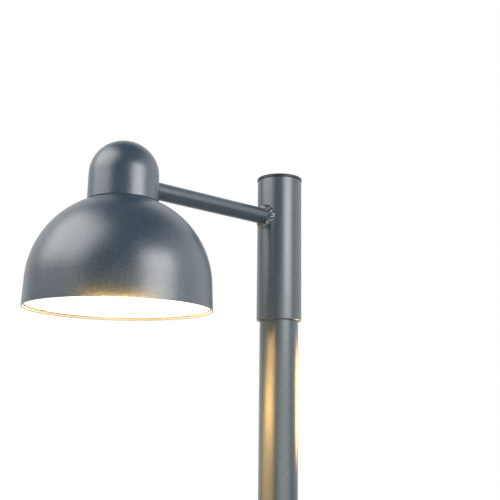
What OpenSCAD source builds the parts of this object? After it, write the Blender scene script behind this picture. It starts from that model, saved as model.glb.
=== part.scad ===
// Park lantern: foot flange and post, slip-on sleeve with a welded tube arm,
// and a lamp head of a thimble housing over a bell shade with an opal diffuser.
// Origin at the centre of the foot flange's underside, Z up, arm towards -X, millimetres.

/* [Foot flange] */
// Diameter of the round foot flange
foot_d = 200; // [185:1:300]
// Thickness of the foot flange
foot_t = 10; // [6:0.5:20]
// Chamfer round the flange's upper edge
foot_chamfer = 1.5; // [0.5:0.1:3]
// Diameter of the circle that the anchor holes lie on
anchor_pcd = 160; // [130:1:164]
// Diameter of each anchor hole
anchor_hole_d = 14; // [9:0.5:18]
// Number of anchor holes
anchor_count = 4; // [3:1:8]
// How far the cable bore stays inside the post's bore, on the radius
cable_bore_ledge = 3; // [1:0.5:8]
// Leg of the fillet weld between post and flange
foot_weld_leg = 6; // [4:0.5:8]

/* [Post] */
// Outside diameter of the post
post_d = 60; // [50:1:76]
// Wall of the post
post_wall = 3; // [2:0.5:6]
// Length of the post, from the flange to its top end
post_h = 2115; // [600:5:3500]

/* [Sleeve] */
// Clearance between post and sleeve, on the radius
sleeve_gap = 1; // [0.3:0.1:1.5]
// Wall of the sleeve
sleeve_wall = 4; // [3:0.5:6]
// Length of the sleeve
sleeve_h = 225; // [210:1:320]
// Chamfer on the sleeve's outer edges
sleeve_chamfer = 0.8; // [0.3:0.1:1.5]
// How far the sleeve reaches down over the post
sleeve_overlap = 105; // [90:1:125]
// Height of the ring that stops the sleeve on the post's end
stop_ring_h = 5; // [3:0.5:8]
// How far the stop ring reaches inside the post's bore, on the radius
stop_ring_lip = 4; // [1:0.5:8]

/* [Sleeve cap] */
// How far the cap's flange stands out over the sleeve, on the radius
cap_overhang = 0.75; // [0:0.05:2]
// Thickness of the cap's flange
cap_t = 4.6; // [3:0.1:8]
// Round on the cap's upper edge
cap_round = 2; // [0.5:0.1:2.5]
// Length of the plug below the flange
cap_plug_h = 15; // [10:0.5:20]
// Wall of the plug
cap_plug_wall = 2; // [1.5:0.1:3]
// Height of each grip rib round the plug
cap_rib_h = 2; // [1:0.1:2.5]
// Depth of each grip rib, on the radius
cap_rib_depth = 1.2; // [0.6:0.1:1.5]
// Clearance between the ribs and the sleeve's bore, on the radius
cap_gap = 0.1; // [0.05:0.05:0.3]

/* [Set screws] */
// Thread diameter of the set screws in the sleeve
set_screw_d = 8; // [6:1:10]
// Height of the lower set screw over the sleeve's lower end
set_screw_rise = 25; // [15:1:35]
// Distance between the two set screws
set_screw_pitch = 50; // [30:1:55]

/* [Arm] */
// Outside diameter of the arm
arm_d = 25; // [20:0.5:28]
// Wall of the arm
arm_wall = 2.5; // [1.5:0.5:4]
// Distance from the post's axis to the lamp's axis
reach = 300; // [220:1:500]
// Height of the arm's axis over the sleeve's lower end
arm_rise = 162; // [155:1:170]
// How far the arm reaches into the housing, from the ball's outside
arm_insert = 30; // [24:0.5:32]
// Clearance between the arm and the housing's bore, on the radius
arm_gap = 0.15; // [0.05:0.05:0.4]
// Leg of the fillet weld round the arm
arm_weld_leg = 6.5; // [4:0.5:8]
// Number of ripples in the arm's weld
arm_weld_ripples = 17; // [12:1:24]

/* [Housing] */
// Outside diameter of the housing's ball top
ball_d = 95.4; // [92:0.1:110]
// How much the housing's base stands out beyond the ball, on the radius
housing_flare = 0.6; // [0.2:0.1:3]
// Height of the ball's centre over the housing's base
housing_side_h = 37.7; // [32:0.1:50]
// Height of the arm's axis over the housing's base
housing_drop = 27.2; // [26:0.1:30]
// Wall of the housing
housing_wall = 3; // [2.5:0.1:4]
// Chamfer on the housing's lower outer edge
housing_chamfer = 0.6; // [0.3:0.1:1.5]
// Wall of the boss round the arm
arm_boss_wall = 4; // [3:0.5:6]
// Radius of each boss for a shade screw
screw_boss_r = 5.5; // [4.5:0.1:6]
// Height of each boss for a shade screw
screw_boss_h = 16; // [12:0.5:24]
// Distance of the shade screws from the housing's inner wall
screw_boss_inset = 15; // [13:0.1:16]
// Thickness of the webs that tie the bosses to the wall
boss_web_t = 3; // [2:0.1:5]

/* [Shade] */
// Outside diameter of the shade's dome
dome_d = 247; // [230:1:320]
// How much the rim stands out beyond the dome, on the radius
rim_flare = 1.5; // [0.5:0.1:6]
// Depth of the rim below the dome's centre
rim_drop = 31.5; // [20:0.5:60]
// Thickness of the shade's sheet
shade_t = 2; // [1:0.1:3]
// Chamfer on both edges of the trimmed rim
rim_chamfer = 0.3; // [0.1:0.1:0.4]
// Thickness of the seal between the shade and the housing's dished edge
seal_t = 0.8; // [0.6:0.1:3]
// How far the seal stays inside the housing's edge
seal_inset = 1.4; // [0.9:0.1:1.8]
// Margin between the flat crown and the housing's inner wall
crown_margin = 5.2; // [4.5:0.1:6]
// Diameter of the hole for the wires, through crown, plate and board
wire_hole_d = 8; // [5:0.5:9]

/* [Light source] */
// Thickness of the heat plate
plate_t = 4; // [3:0.5:6]
// Clearance between the heat plate and the shade's inside, on the radius
plate_gap = 1.5; // [0.5:0.1:3]
// Diameter of the light board
board_d = 44; // [42:0.5:45]
// Thickness of the light board
board_t = 1.6; // [1:0.1:2]
// Side of each light-emitting chip
chip_w = 3; // [2:0.1:3.5]
// Thickness of each light-emitting chip
chip_t = 0.8; // [0.4:0.1:1.2]
// Radius of the outer ring of chips
chip_ring_r = 18.2; // [17.5:0.1:18.8]
// Radius of the inner ring of chips
chip_inner_r = 7.5; // [7.3:0.1:7.8]
// Radius of the circle that the board's screws lie on
board_screw_r = 13; // [12.5:0.1:13.3]

/* [Reflector and diffuser] */
// Thickness of the reflector's sheet
reflector_t = 1; // [0.6:0.1:1.5]
// Width of the reflector's upper flange outside the board
reflector_neck = 14; // [12:0.5:16]
// Width of the reflector's lower flange
reflector_flange = 14; // [13:0.5:18]
// Height of the diffuser's lower face over the rim's lowest edge
diffuser_recess = 3.5; // [2.5:0.1:8]
// Thickness of the diffuser
diffuser_t = 3; // [2:0.1:5]
// Clearance between the diffuser and the shade's inside, on the radius
diffuser_gap = 1.2; // [0.4:0.1:3]
// Chamfer on the diffuser's edges
diffuser_chamfer = 0.4; // [0.2:0.1:0.8]
// Distance of the diffuser's screws from its edge
diffuser_screw_inset = 8.4; // [7.9:0.1:8.8]
// Thickness of the foam ring over the diffuser
gasket_t = 1.5; // [1:0.1:3]

/* [Power supply] */
// Depth of the driver's case
driver_x = 20; // [16:0.5:21]
// Width of the driver's case
driver_y = 34; // [28:0.5:35]
// Height of the driver's case
driver_z = 42; // [24:0.5:48]
// Thickness of the driver's feet
driver_foot_t = 3; // [2:0.1:5]
// Length of each of the driver's feet
driver_foot_l = 8; // [7.5:0.1:9]
// Depth of the terminal block
terminal_x = 11; // [8:0.5:12]
// Width of the terminal block
terminal_y = 30; // [24:0.5:34]
// Height of the terminal block
terminal_z = 11; // [8:0.5:12]

/* [Hidden] */
$fn = 96;
// How far a cutting solid runs past the face that it opens
cut = 1;
// Gap between a thread and its hole, a weld and its metal, and two seated faces
thread_gap = 0.05;
weld_gap = 0.08;
seat_gap = 0.01;
// Clearance of a screw in the pieces that it passes through, on the radius
screw_gap = 0.2;
// Numbers of fasteners and of ripples in the foot's weld
screw_count = 3;
set_screw_count = 2;
driver_screw_count = 2;
foot_weld_ripples = 44;
// Screws: diameters, bites, and head and socket as shares of the diameter
shade_screw_d = 5;
shade_screw_bite = 9;
small_screw_d = 3;
small_screw_bite = 3;
lock_screw_d = 5;
lock_screw_l = 7;
head_r_share = 0.95;
head_h_share = 0.55;
head_round_share = 0.6;
drive_share = 0.37;
grub_socket_share = 0.29;
grub_depth_share = 0.45;
drill_run_out = 0.5;
// Weld beads: crown over a flat fillet and lift of a ripple, as shares of the leg,
// bow of a ripple across the bead, and share of a ripple that rises
bead_crown = 0.04;
ripple_lift = 0.13;
ripple_bow = 0.9;
ripple_rise = 0.35;
// Slow swells round a bead, each as [share of the leg, waves round the joint, phase]
bead_swells = [[0.07, 3, 40], [0.05, 7, 110]];
// Threaded inserts
rivet_head_t = 0.8;
rivet_body_r = 2.5;
rivet_body_l = 7;
rivet_lip = 1;
rivet_lead = 1;
// Pad in the housing for the arm's lock screw
lock_pad_r = 5;
lock_pad_inset = 1;
lock_pad_gap = 2;
// Grommet in the arm's end
grommet_l = 6;
grommet_wall = 3;
grommet_lip = 2;
grommet_lip_t = 1.5;
// Grip ribs of the cap and the plain end below them
cap_rib_count = 3;
cap_lead = 1.8;
// Light-emitting chips and poles of the terminal block
chip_ring_count = 12;
chip_inner_count = 6;
pole_count = 3;
pole_wire_r = 1.8;
pole_clamp_r = 2;
pole_groove = 1;
pole_wire_share = 0.4;
pole_groove_share = 0.7;
// Clearances in the lamp head
board_gap = 1;
gasket_inset = 0.5;
driver_gap = 1;
driver_chamfer = 1.5;
terminal_gap = 1;
// Colours
graphite = "#3d474e";
black_plastic = "#17181a";
cast_metal = "#9ea2a4";
white_paint = "#f4f2ec";
zinc = "#b9bcc0";
opal = "#fff4dc";

// Post and sleeve
post_r = post_d / 2;
post_bore_r = post_r - post_wall;
post_top = foot_t + post_h;
sleeve_bore_r = post_r + sleeve_gap;
sleeve_r = sleeve_bore_r + sleeve_wall;
sleeve_z = post_top - sleeve_overlap;
arm_r = arm_d / 2;
arm_bore_r = arm_r - arm_wall;
arm_z = sleeve_z + arm_rise;
set_screw_r = set_screw_d / 2;

// Angle above its centre at which a ball meets the tangent line from an outside point below
function tangent_angle(r, x, z) = atan2(z, x) + acos(r / norm([x, z]));
// Radius at which a ball around height c cuts height z
function ball_radius_at(r, c, z) = sqrt(r * r - (z - c) * (z - c));

// Housing, heights counted from the arm's axis
ball_r = ball_d / 2;
housing_base_r = ball_r + housing_flare;
housing_base_z = -housing_drop;
ball_z = housing_base_z + housing_side_h;
housing_draft = tangent_angle(ball_r, housing_base_r, -housing_side_h);
housing_in_r = ball_r - housing_wall;
seat_in_r = housing_base_r - housing_wall / cos(housing_draft);
arm_end_x = ball_r - arm_insert;
boss_r = housing_in_r - screw_boss_inset;
lock_x = housing_in_r - lock_pad_r - lock_pad_inset;

// Shade, heights counted from the arm's axis
dome_r = dome_d / 2;
rim_r = dome_r + rim_flare;
dome_z = housing_base_z - seal_t - sqrt(dome_r * dome_r - housing_base_r * housing_base_r);
rim_z = dome_z - rim_drop;
shade_draft = tangent_angle(dome_r, rim_r, rim_z - dome_z);
rim_in_r = shade_inside_at(rim_z);
crown_r = housing_in_r - crown_margin;
crown_z = dome_height_at(crown_r);
crown_under_z = crown_z - shade_t;
crown_seat_z = crown_z + seat_gap;

// Height of the dome's outside at radius r
function dome_height_at(r) = dome_z + sqrt(dome_r * dome_r - r * r);
// Radius of the shade's inner wall at height z, below the dome's round part
function shade_inside_at(z) = rim_r + (rim_z - z) * tan(shade_draft) - shade_t / cos(shade_draft);

// Light source, reflector and diffuser
plate_r = ball_radius_at(dome_r - shade_t, dome_z, crown_under_z) - plate_gap;
plate_under_z = crown_under_z - plate_t;
board_r = board_d / 2;
neck_in_r = board_r + board_gap;
neck_r = neck_in_r + reflector_neck;
diffuser_z = rim_z + diffuser_recess;
diffuser_r = shade_inside_at(diffuser_z) - diffuser_gap;
diffuser_screw_r = diffuser_r - diffuser_screw_inset;
flange_r = shade_inside_at(diffuser_z + diffuser_t + gasket_t + reflector_t) - diffuser_gap;
flange_in_r = flange_r - reflector_flange;
flange_under_z = diffuser_z + diffuser_t + gasket_t;
rivet_hole_r = rivet_body_r + thread_gap;
rivet_head_r = rivet_body_r + rivet_lip;

// Driver and terminal block on the crown
driver_back_x = driver_gap - sqrt(housing_in_r * housing_in_r - driver_y * driver_y / 4);
driver_mid_x = driver_back_x + driver_x / 2;
driver_screw_y = driver_y / 2 + driver_foot_l / 2;
terminal_back_x = arm_end_x - terminal_x - terminal_gap;

// Places a piece of the lamp head, whose origin is where the arm's axis meets the lamp's axis
module head() {
    translate([-reach, 0, arm_z]) children();
}

// Copies a piece round the lamp's axis, the first one towards the post
module round_lamp(r, i) {
    rotate([0, 0, 360 * i / screw_count]) translate([r, 0, 0]) children();
}

// Half outline of a bell: a ball that runs into a tangent skirt, filled to the axis
module bell_area(r, centre_z, draft, low_r, low_z) {
    join_r = r * cos(draft);
    join_z = centre_z + r * sin(draft);
    intersection() {
        translate([0, centre_z]) circle(r);
        translate([0, join_z]) square(2 * r);
    }
    polygon([[0, low_z], [low_r, low_z], [join_r, join_z], [0, join_z]]);
}

// Button-head screw that points up, its head's upper face at height 0
module button_screw(d, length) {
    head_r = d * head_r_share;
    head_h = d * head_h_share;
    round_r = head_h * head_round_share;
    difference() {
        union() {
            rotate_extrude() {
                translate([0, -head_h]) square([head_r - round_r, head_h]);
                translate([0, round_r - head_h]) square([head_r, head_h - round_r]);
                intersection() {
                    translate([head_r - round_r, round_r - head_h]) circle(round_r);
                    translate([0, -head_h]) square([head_r, head_h]);
                }
            }
            translate([0, 0, -cut]) cylinder(r = d / 2, h = length + cut);
        }
        translate([0, 0, -head_h - cut])
            cylinder(r = d * drive_share, h = cut + round_r, $fn = 6);
    }
}

// Grub screw along Z with its hexagon socket in the lower end
module grub_screw(d, length) {
    difference() {
        cylinder(r = d / 2, h = length);
        translate([0, 0, -cut])
            cylinder(r = d * grub_socket_share, h = cut + length * grub_depth_share, $fn = 6);
    }
}

// Cuts a 45 degree chamfer off a lower outer corner at the origin
module corner_cut(c) {
    polygon([[-c, 0], [-c, -cut], [cut, -cut], [cut, c + cut], [0, c]]);
}

// Height of the weld's face above a flat fillet, from 0 to 1, for crescent ripples:
// s runs round the joint from 0 to 1 and t across the bead from 0 to 1
function ripple(s, t, ripples) =
    let (phase = s * ripples + ripple_bow * (t - 0.5) * (t - 0.5))
    let (part = phase - floor(phase))
    part < ripple_rise ? part / ripple_rise : (1 - part) / (1 - ripple_rise);

// Slow swell of the bead's size round the joint, about 1
function swell(s) =
    let (waves = [for (w = bead_swells) w[0] * sin(360 * w[1] * s + w[2])])
    1 + waves * [for (w = bead_swells) 1];

// Section of a bead as [distance from the first surface, distance from the second surface]
function bead_section(s, leg, ripples) =
    let (size = leg * swell(s))
    concat(
        [[weld_gap, size / 2], [weld_gap, weld_gap], [size, weld_gap]],
        [for (t = [0.8, 0.6, 0.4, 0.2])
            let (lift = sin(180 * t) * leg * (bead_crown + ripple_lift * ripple(s, t, ripples)))
            [size * t + lift, size * (1 - t) + lift]],
        [[weld_gap, size]]
    );

// Closed ring of sections, each a list of points in space
module ring_mesh(sections) {
    n = len(sections);
    m = len(sections[0]);
    points = [for (section = sections) for (point = section) point];
    faces = [for (i = [0:n - 1]) for (j = [0:m - 1])
        let (a = i * m + j, b = i * m + (j + 1) % m)
        let (c = ((i + 1) % n) * m + (j + 1) % m, d = ((i + 1) % n) * m + j)
        each [[a, b, c], [a, c, d]]];
    polyhedron(points = points, faces = faces);
}

// Fillet bead round a tube of radius inner_r that stands on the plane z = 0
module flat_bead(inner_r, leg, ripples, steps) {
    n = ripples * steps;
    ring_mesh([for (i = [0:n - 1])
        [for (p = bead_section(i / n, leg, ripples))
            [(inner_r + p[1]) * cos(360 * i / n), (inner_r + p[1]) * sin(360 * i / n), p[0]]]]);
}

// Fillet bead round a tube along -X where its saddle end meets an upright tube of radius main_r
module saddle_bead(inner_r, main_r, leg, ripples, steps) {
    n = ripples * steps;
    ring_mesh([for (i = [0:n - 1])
        let (a = 360 * i / n)
        [for (p = bead_section(i / n, leg, ripples))
            let (r = inner_r + p[1])
            [-sqrt(main_r * main_r - pow(r * sin(a), 2)) - p[0], -r * sin(a), r * cos(a)]]]);
}

module foot_flange() {
    color(graphite) difference() {
        union() {
            cylinder(r = foot_d / 2, h = foot_t - foot_chamfer);
            translate([0, 0, foot_t - foot_chamfer])
                cylinder(r1 = foot_d / 2, r2 = foot_d / 2 - foot_chamfer, h = foot_chamfer);
        }
        translate([0, 0, -cut]) cylinder(r = post_bore_r - cable_bore_ledge, h = foot_t + 2 * cut);
        for (i = [0:anchor_count - 1])
            rotate([0, 0, 360 * (i + 0.5) / anchor_count]) translate([anchor_pcd / 2, 0, -cut])
                cylinder(r = anchor_hole_d / 2, h = foot_t + 2 * cut);
    }
}

module foot_weld() {
    color(graphite) translate([0, 0, foot_t])
        flat_bead(post_r, foot_weld_leg, foot_weld_ripples, 4);
}

module post() {
    color(graphite) translate([0, 0, foot_t]) difference() {
        cylinder(r = post_r, h = post_h);
        translate([0, 0, -cut]) cylinder(r = post_bore_r, h = post_h + 2 * cut);
    }
}

module sleeve() {
    c = sleeve_chamfer;
    color(graphite) translate([0, 0, sleeve_z]) difference() {
        rotate_extrude() polygon([
            [sleeve_bore_r, 0], [sleeve_r - c, 0], [sleeve_r, c],
            [sleeve_r, sleeve_h - c], [sleeve_r - c, sleeve_h], [sleeve_bore_r, sleeve_h]
        ]);
        translate([0, 0, arm_rise]) rotate([0, -90, 0]) cylinder(r = arm_bore_r, h = sleeve_r + cut);
        for (i = [0:set_screw_count - 1])
            translate([0, 0, set_screw_rise + i * set_screw_pitch]) rotate([0, 90, 0])
                cylinder(r = set_screw_r + thread_gap, h = sleeve_r + cut);
    }
}

module stop_ring() {
    color(zinc) translate([0, 0, post_top]) difference() {
        cylinder(r = sleeve_bore_r, h = stop_ring_h);
        translate([0, 0, -cut]) cylinder(r = post_bore_r - stop_ring_lip, h = stop_ring_h + 2 * cut);
    }
}

// Grub screw that presses on the post, flush with the sleeve's outside
module set_screw(i) {
    color(zinc) translate([sleeve_r, 0, sleeve_z + set_screw_rise + i * set_screw_pitch])
        rotate([0, -90, 0]) grub_screw(set_screw_d, sleeve_r - post_r);
}

module sleeve_cap() {
    cap_r = sleeve_r + cap_overhang;
    rib_r = sleeve_bore_r - cap_gap;
    plug_r = rib_r - cap_rib_depth;
    rib_pitch = (cap_plug_h - cap_lead) / cap_rib_count;
    color(black_plastic) translate([0, 0, sleeve_z + sleeve_h]) rotate_extrude() {
        square([cap_r - cap_round, cap_t]);
        square([cap_r, cap_t - cap_round]);
        translate([cap_r - cap_round, cap_t - cap_round]) circle(cap_round);
        translate([plug_r - cap_plug_wall, -cap_plug_h]) square([cap_plug_wall, cap_plug_h + cut]);
        for (i = [1:cap_rib_count])
            translate([plug_r - cut, -i * rib_pitch])
                polygon([[0, 0], [cut, 0], [cut + cap_rib_depth, cap_rib_h], [0, cap_rib_h]]);
    }
}

module arm() {
    length = reach - arm_end_x;
    color(graphite) translate([0, 0, arm_z]) difference() {
        rotate([0, -90, 0]) cylinder(r = arm_r, h = length);
        rotate([0, -90, 0]) cylinder(r = arm_bore_r, h = length + cut);
        translate([0, 0, -arm_d]) cylinder(r = sleeve_r, h = 2 * arm_d);
    }
}

module arm_weld() {
    color(graphite) translate([0, 0, arm_z])
        saddle_bead(arm_r, sleeve_r, arm_weld_leg, arm_weld_ripples, 8);
}

module arm_grommet() {
    color(black_plastic) head() translate([arm_end_x, 0, 0]) rotate([0, 90, 0]) difference() {
        union() {
            translate([0, 0, -grommet_lip_t])
                cylinder(r = arm_bore_r + grommet_lip, h = grommet_lip_t);
            cylinder(r = arm_bore_r - thread_gap, h = grommet_l);
        }
        translate([0, 0, -grommet_lip_t - cut])
            cylinder(r = arm_bore_r - grommet_wall, h = grommet_lip_t + grommet_l + 2 * cut);
    }
}

module arm_lock_screw() {
    color(zinc) head() translate([lock_x, 0, -arm_r - lock_screw_l])
        grub_screw(lock_screw_d, lock_screw_l);
}

// Space inside the housing's wall, as a solid of revolution
module housing_space(wall) {
    rotate_extrude() bell_area(
        ball_r - wall, ball_z, housing_draft,
        housing_base_r - wall / cos(housing_draft), housing_base_z - cut
    );
}

module housing() {
    color(graphite) head() difference() {
        union() {
            difference() {
                rotate_extrude() difference() {
                    bell_area(ball_r, ball_z, housing_draft, housing_base_r, housing_base_z);
                    translate([housing_base_r, housing_base_z]) corner_cut(housing_chamfer);
                    polygon([
                        [seat_in_r - cut, housing_base_z - cut], [housing_base_r + cut, housing_base_z - cut],
                        [housing_base_r + cut, dome_height_at(housing_base_r + cut) + seal_t],
                        [seat_in_r - cut, dome_height_at(seat_in_r - cut) + seal_t]
                    ]);
                }
                housing_space(housing_wall);
            }
            intersection() {
                union() {
                    translate([arm_end_x, 0, 0]) rotate([0, 90, 0])
                        cylinder(r = arm_r + arm_gap + arm_boss_wall, h = arm_insert);
                    translate([lock_x, 0, crown_z + lock_pad_gap]) cylinder(r = lock_pad_r, h = -crown_z);
                    for (i = [0:screw_count - 1]) {
                        round_lamp(boss_r, i) translate([0, 0, crown_seat_z])
                            cylinder(r = screw_boss_r, h = screw_boss_h);
                        round_lamp(boss_r, i) translate([0, -boss_web_t / 2, crown_seat_z])
                            cube([screw_boss_inset + cut, boss_web_t, screw_boss_h]);
                    }
                }
                housing_space(housing_wall / 2);
            }
        }
        translate([arm_end_x - cut, 0, 0]) rotate([0, 90, 0])
            cylinder(r = arm_r + arm_gap, h = arm_insert + 2 * cut);
        translate([lock_x, 0, crown_z]) cylinder(r = lock_screw_d / 2 + thread_gap, h = -crown_z);
        for (i = [0:screw_count - 1])
            round_lamp(boss_r, i) translate([0, 0, crown_z - cut])
                cylinder(r = shade_screw_d / 2 + thread_gap, h = cut + shade_screw_bite + drill_run_out);
    }
}

module shade_seal() {
    outer_r = housing_base_r - seal_inset;
    color(black_plastic) head() rotate_extrude() polygon([
        [seat_in_r, dome_height_at(seat_in_r) + weld_gap], [outer_r, dome_height_at(outer_r) + weld_gap],
        [outer_r, dome_height_at(outer_r) + seal_t - weld_gap],
        [seat_in_r, dome_height_at(seat_in_r) + seal_t - weld_gap]
    ]);
}

module shade() {
    color(graphite) head() difference() {
        rotate_extrude() {
            difference() {
                intersection() {
                    bell_area(dome_r, dome_z, shade_draft, rim_r, rim_z);
                    translate([0, rim_z]) square([2 * rim_r, crown_z - rim_z]);
                }
                intersection() {
                    bell_area(
                        dome_r - shade_t, dome_z, shade_draft,
                        shade_inside_at(rim_z - cut), rim_z - cut
                    );
                    translate([0, rim_z - cut]) square([2 * rim_r, crown_under_z - rim_z + cut]);
                }
                translate([rim_r, rim_z]) corner_cut(rim_chamfer);
                translate([rim_in_r, rim_z]) mirror([1, 0]) corner_cut(rim_chamfer);
            }
        }
        translate([0, 0, crown_under_z - cut]) cylinder(r = wire_hole_d / 2, h = shade_t + 2 * cut);
        for (i = [0:screw_count - 1])
            round_lamp(boss_r, i) translate([0, 0, crown_under_z - cut])
                cylinder(r = shade_screw_d / 2 + screw_gap, h = shade_t + 2 * cut);
        for (side = [-1, 1])
            translate([driver_mid_x, side * driver_screw_y, crown_under_z - cut])
                cylinder(r = small_screw_d / 2 + thread_gap, h = shade_t + 2 * cut);
    }
}

module heat_plate() {
    color(cast_metal) head() difference() {
        translate([0, 0, plate_under_z]) cylinder(r = plate_r, h = plate_t);
        translate([0, 0, plate_under_z - cut]) cylinder(r = wire_hole_d / 2, h = plate_t + 2 * cut);
        for (i = [0:screw_count - 1]) {
            round_lamp(boss_r, i) translate([0, 0, plate_under_z - cut])
                cylinder(r = shade_screw_d / 2 + screw_gap, h = plate_t + 2 * cut);
            round_lamp(board_screw_r, i) translate([0, 0, plate_under_z - cut])
                cylinder(r = small_screw_d / 2 + thread_gap, h = plate_t + 2 * cut);
        }
        for (side = [-1, 1])
            translate([driver_mid_x, side * driver_screw_y, plate_under_z - cut])
                cylinder(r = small_screw_d / 2 + thread_gap, h = plate_t + 2 * cut);
    }
}

// Screw from below through the reflector's neck, the plate and the crown into the housing's boss
module shade_screw(i) {
    color(zinc) head() round_lamp(boss_r, i) translate([0, 0, plate_under_z - reflector_t - seat_gap])
        button_screw(shade_screw_d, reflector_t + plate_t + shade_t + shade_screw_bite);
}

module led_board() {
    color("white") head() difference() {
        translate([0, 0, plate_under_z - board_t]) cylinder(r = board_r, h = board_t);
        translate([0, 0, plate_under_z - board_t - cut])
            cylinder(r = wire_hole_d / 2, h = board_t + 2 * cut);
        for (i = [0:screw_count - 1])
            round_lamp(board_screw_r, i) translate([0, 0, plate_under_z - board_t - cut])
                cylinder(r = small_screw_d / 2 + thread_gap, h = board_t + 2 * cut);
    }
}

module led_chips() {
    chip_z = plate_under_z - board_t - chip_t / 2 - seat_gap;
    color(opal) head() for (ring = [[chip_ring_r, chip_ring_count], [chip_inner_r, chip_inner_count]])
        for (k = [0:ring[1] - 1])
            rotate([0, 0, 360 * (k + 0.5) / ring[1]]) translate([ring[0], 0, chip_z])
                cube([chip_w, chip_w, chip_t], center = true);
}

module led_screw(i) {
    color(zinc) head() round_lamp(board_screw_r, i)
        translate([0, 0, plate_under_z - board_t - seat_gap])
            button_screw(small_screw_d, board_t + small_screw_bite);
}

// Case on two feet, with its long edges chamfered
module driver() {
    c = driver_chamfer;
    half = driver_y / 2;
    color("#e8e8e6") head() translate([driver_back_x, 0, crown_seat_z]) difference() {
        union() {
            linear_extrude(driver_z) polygon([
                [c, -half], [driver_x - c, -half], [driver_x, c - half], [driver_x, half - c],
                [driver_x - c, half], [c, half], [0, half - c], [0, c - half]
            ]);
            translate([driver_x / 2, 0, driver_foot_t / 2])
                cube([driver_foot_l, driver_y + 2 * driver_foot_l, driver_foot_t], center = true);
        }
        for (side = [-1, 1])
            translate([driver_x / 2, side * driver_screw_y, -cut])
                cylinder(r = small_screw_d / 2 + thread_gap, h = driver_foot_t + 2 * cut);
    }
}

module driver_screw(i) {
    side = i == 0 ? -1 : 1;
    head_z = crown_seat_z + driver_foot_t + seat_gap;
    color(zinc) head() translate([driver_mid_x, side * driver_screw_y, head_z]) rotate([180, 0, 0])
        button_screw(small_screw_d, driver_foot_t + shade_t + small_screw_bite);
}

// Three-pole block with a wire funnel on each side and a clamp screw well over each pole
module terminal_block() {
    pitch = terminal_y / pole_count;
    wire_z = terminal_z * pole_wire_share;
    groove_z = terminal_z * pole_groove_share;
    color("#dcdcd8") head() translate([terminal_back_x, 0, crown_seat_z]) difference() {
        translate([0, -terminal_y / 2, 0]) cube([terminal_x, terminal_y, terminal_z]);
        for (k = [0:pole_count - 1]) translate([0, (k - (pole_count - 1) / 2) * pitch, wire_z]) {
            translate([-cut, 0, 0]) rotate([0, 90, 0])
                cylinder(r = pole_wire_r, h = terminal_x + 2 * cut);
            translate([terminal_x / 2, 0, 0]) cylinder(r = pole_clamp_r, h = terminal_z);
        }
        for (k = [1:pole_count - 1])
            translate([-cut, (k - pole_count / 2) * pitch - pole_groove / 2, groove_z])
                cube([terminal_x + 2 * cut, pole_groove, terminal_z]);
    }
}

module reflector() {
    slope = atan2(plate_under_z - flange_under_z - reflector_t, flange_in_r - neck_r);
    fold = reflector_t * tan(slope / 2);
    top_z = plate_under_z;
    low_z = flange_under_z;
    color(white_paint) head() difference() {
        rotate_extrude() polygon([
            [neck_in_r, top_z], [neck_r, top_z],
            [flange_in_r, low_z + reflector_t], [flange_r, low_z + reflector_t],
            [flange_r, low_z], [flange_in_r - fold, low_z],
            [neck_r - fold, top_z - reflector_t], [neck_in_r, top_z - reflector_t]
        ]);
        for (i = [0:screw_count - 1]) {
            round_lamp(boss_r, i) translate([0, 0, top_z - reflector_t - cut])
                cylinder(r = shade_screw_d / 2 + screw_gap, h = reflector_t + 2 * cut);
            round_lamp(diffuser_screw_r, i) translate([0, 0, low_z - cut])
                cylinder(r = rivet_hole_r, h = reflector_t + 2 * cut);
        }
    }
}

module diffuser_gasket() {
    color(white_paint) head() difference() {
        translate([0, 0, diffuser_z + diffuser_t]) cylinder(r = flange_r - gasket_inset, h = gasket_t);
        translate([0, 0, diffuser_z + diffuser_t - cut])
            cylinder(r = flange_in_r, h = gasket_t + 2 * cut);
        for (i = [0:screw_count - 1])
            round_lamp(diffuser_screw_r, i) translate([0, 0, diffuser_z + diffuser_t - cut])
                cylinder(r = rivet_head_r + 2 * thread_gap, h = gasket_t + 2 * cut);
    }
}

// Threaded insert, its head under the reflector's flange and its body above
module rivet_nut(i) {
    color(zinc) head() round_lamp(diffuser_screw_r, i)
        translate([0, 0, flange_under_z - seat_gap]) difference() {
        union() {
            translate([0, 0, -rivet_head_t]) cylinder(r = rivet_head_r, h = rivet_head_t);
            cylinder(r = rivet_body_r, h = rivet_body_l);
        }
        translate([0, 0, -rivet_head_t - cut])
            cylinder(r = small_screw_d / 2 + thread_gap, h = rivet_head_t + rivet_body_l + 2 * cut);
    }
}

module diffuser() {
    c = diffuser_chamfer;
    color(opal) head() difference() {
        translate([0, 0, diffuser_z]) rotate_extrude() polygon([
            [0, 0], [diffuser_r - c, 0], [diffuser_r, c],
            [diffuser_r, diffuser_t - c], [diffuser_r - c, diffuser_t], [0, diffuser_t]
        ]);
        for (i = [0:screw_count - 1])
            round_lamp(diffuser_screw_r, i) translate([0, 0, diffuser_z - cut])
                cylinder(r = small_screw_d / 2 + screw_gap, h = diffuser_t + 2 * cut);
    }
}

module diffuser_screw(i) {
    color(zinc) head() round_lamp(diffuser_screw_r, i) translate([0, 0, diffuser_z - seat_gap])
        button_screw(small_screw_d, diffuser_t + gasket_t + rivet_body_l - rivet_lead);
}

foot_flange();
foot_weld();
post();
sleeve();
stop_ring();
sleeve_cap();
arm();
arm_weld();
arm_grommet();
arm_lock_screw();
housing();
shade_seal();
shade();
heat_plate();
led_board();
led_chips();
driver();
terminal_block();
reflector();
diffuser_gasket();
diffuser();
for (i = [0:set_screw_count - 1])
    set_screw(i);
for (i = [0:driver_screw_count - 1])
    driver_screw(i);
for (i = [0:screw_count - 1]) {
    shade_screw(i);
    led_screw(i);
    rivet_nut(i);
    diffuser_screw(i);
}
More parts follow.
